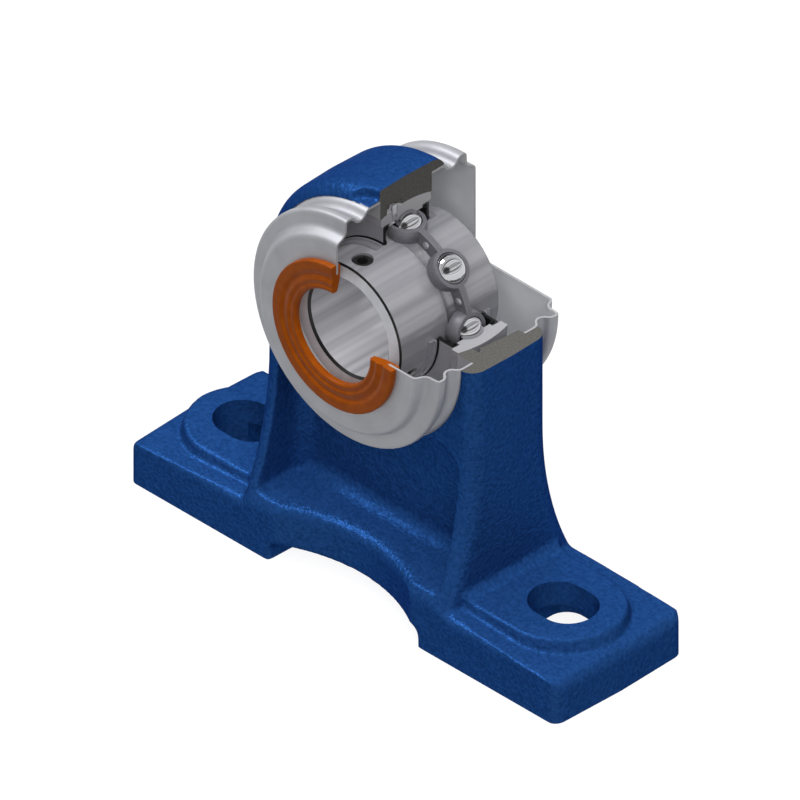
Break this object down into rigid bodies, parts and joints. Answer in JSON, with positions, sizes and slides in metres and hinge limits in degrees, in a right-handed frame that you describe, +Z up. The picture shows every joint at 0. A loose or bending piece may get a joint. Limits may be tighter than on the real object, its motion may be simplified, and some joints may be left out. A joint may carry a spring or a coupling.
{
  "type": "pillow block bearing",
  "caption": "Cutaway pillow block bearing: blue cast housing on slotted feet, pressed end covers and a sealed ball bearing insert with shaft bore.",
  "frame": {"origin": "bottom of the base, under the middle of the bearing", "axes": "+X along the base, -Y along the shaft out of the open front cover, +Z up"},
  "size_m": [0.165, 0.0559, 0.13],
  "materials": {
    "blue_paint": "blue enamel on rough cast iron, bare grey iron on the cut faces",
    "cover_sheet": "satin pressed sheet",
    "orange_rubber": "smooth orange brown rubber",
    "bright_steel": "bright turned steel",
    "ring_steel": "ground bearing steel",
    "seal_sheet": "dark phosphated sheet",
    "black_rubber": "matt black rubber",
    "screw_steel": "black oxide",
    "cage_steel": "dark phosphated sheet",
    "ball_steel": "polished bearing ball"
  },
  "bodies": {
    "housing": {"housing": "blue_paint", "front_cover": "cover_sheet", "front_cover_seal": "orange_rubber", "rear_cover": "cover_sheet"},
    "locating_pin": {"locating_pin": "bright_steel"},
    "outer_ring": {"outer_ring": "ring_steel", "front_seal_plate": "seal_sheet", "rear_seal_plate": "seal_sheet", "front_seal_lip": "black_rubber", "rear_seal_lip": "black_rubber"},
    "inner_ring": {"inner_ring": "ring_steel", "front_flinger": "bright_steel", "rear_flinger": "bright_steel"},
    "set_screw_1": {"set_screw_1": "screw_steel"},
    "set_screw_2": {"set_screw_2": "screw_steel"},
    "cage": {"cage_front": "cage_steel", "cage_rear": "cage_steel", "cage_rivets": "bright_steel"},
    "ball_1": {"ball_1": "ball_steel"},
    "ball_2": {"ball_2": "ball_steel"},
    "ball_3": {"ball_3": "ball_steel"},
    "ball_4": {"ball_4": "ball_steel"},
    "ball_5": {"ball_5": "ball_steel"},
    "ball_6": {"ball_6": "ball_steel"},
    "ball_7": {"ball_7": "ball_steel"},
    "ball_8": {"ball_8": "ball_steel"}
  },
  "joints": [
    {"name": "align_pitch", "type": "hinge", "parent": "housing", "child": "locating_pin", "pos_m": [0, 0, 0.0905], "axis": [1, 0, 0], "range_deg": [-2, 2]},
    {"name": "align_yaw", "type": "hinge", "parent": "locating_pin", "child": "outer_ring", "pos_m": [0, 0, 0.0905], "axis": [0, 0, 1], "range_deg": [-2, 2]},
    {"name": "inner_spin", "type": "hinge", "parent": "outer_ring", "child": "inner_ring", "pos_m": [0, 0, 0.0905], "axis": [0, 1, 0], "continuous": true},
    {"name": "cage_spin", "type": "hinge", "parent": "outer_ring", "child": "cage", "pos_m": [0, 0, 0.0905], "axis": [0, 1, 0], "continuous": true},
    {"name": "set_screw_1_travel", "type": "slide", "parent": "inner_ring", "child": "set_screw_1", "axis": [0, 0, 1], "range_m": [0, 0.003]},
    {"name": "set_screw_2_travel", "type": "slide", "parent": "inner_ring", "child": "set_screw_2", "axis": [0.866, 0, -0.5], "range_m": [0, 0.003]},
    {"name": "ball_1_spin", "type": "hinge", "parent": "cage", "child": "ball_1", "pos_m": [0, 0, 0.1135], "axis": [0, 1, 0], "continuous": true},
    {"name": "ball_2_spin", "type": "hinge", "parent": "cage", "child": "ball_2", "pos_m": [0.01626, 0, 0.10676], "axis": [0, 1, 0], "continuous": true},
    {"name": "ball_3_spin", "type": "hinge", "parent": "cage", "child": "ball_3", "pos_m": [0.023, 0, 0.0905], "axis": [0, 1, 0], "continuous": true},
    {"name": "ball_4_spin", "type": "hinge", "parent": "cage", "child": "ball_4", "pos_m": [0.01626, 0, 0.07424], "axis": [0, 1, 0], "continuous": true},
    {"name": "ball_5_spin", "type": "hinge", "parent": "cage", "child": "ball_5", "pos_m": [0, 0, 0.0675], "axis": [0, 1, 0], "continuous": true},
    {"name": "ball_6_spin", "type": "hinge", "parent": "cage", "child": "ball_6", "pos_m": [-0.01626, 0, 0.07424], "axis": [0, 1, 0], "continuous": true},
    {"name": "ball_7_spin", "type": "hinge", "parent": "cage", "child": "ball_7", "pos_m": [-0.023, 0, 0.0905], "axis": [0, 1, 0], "continuous": true},
    {"name": "ball_8_spin", "type": "hinge", "parent": "cage", "child": "ball_8", "pos_m": [-0.01626, 0, 0.10676], "axis": [0, 1, 0], "continuous": true}
  ],
  "couplings": [
    {"joint": "cage_spin", "follows": "inner_spin", "ratio": 0.39647},
    {"joint": "ball_1_spin", "follows": "inner_spin", "ratio": -2.3112},
    {"joint": "ball_2_spin", "follows": "inner_spin", "ratio": -2.3112},
    {"joint": "ball_3_spin", "follows": "inner_spin", "ratio": -2.3112},
    {"joint": "ball_4_spin", "follows": "inner_spin", "ratio": -2.3112},
    {"joint": "ball_5_spin", "follows": "inner_spin", "ratio": -2.3112},
    {"joint": "ball_6_spin", "follows": "inner_spin", "ratio": -2.3112},
    {"joint": "ball_7_spin", "follows": "inner_spin", "ratio": -2.3112},
    {"joint": "ball_8_spin", "follows": "inner_spin", "ratio": -2.3112}
  ]
}
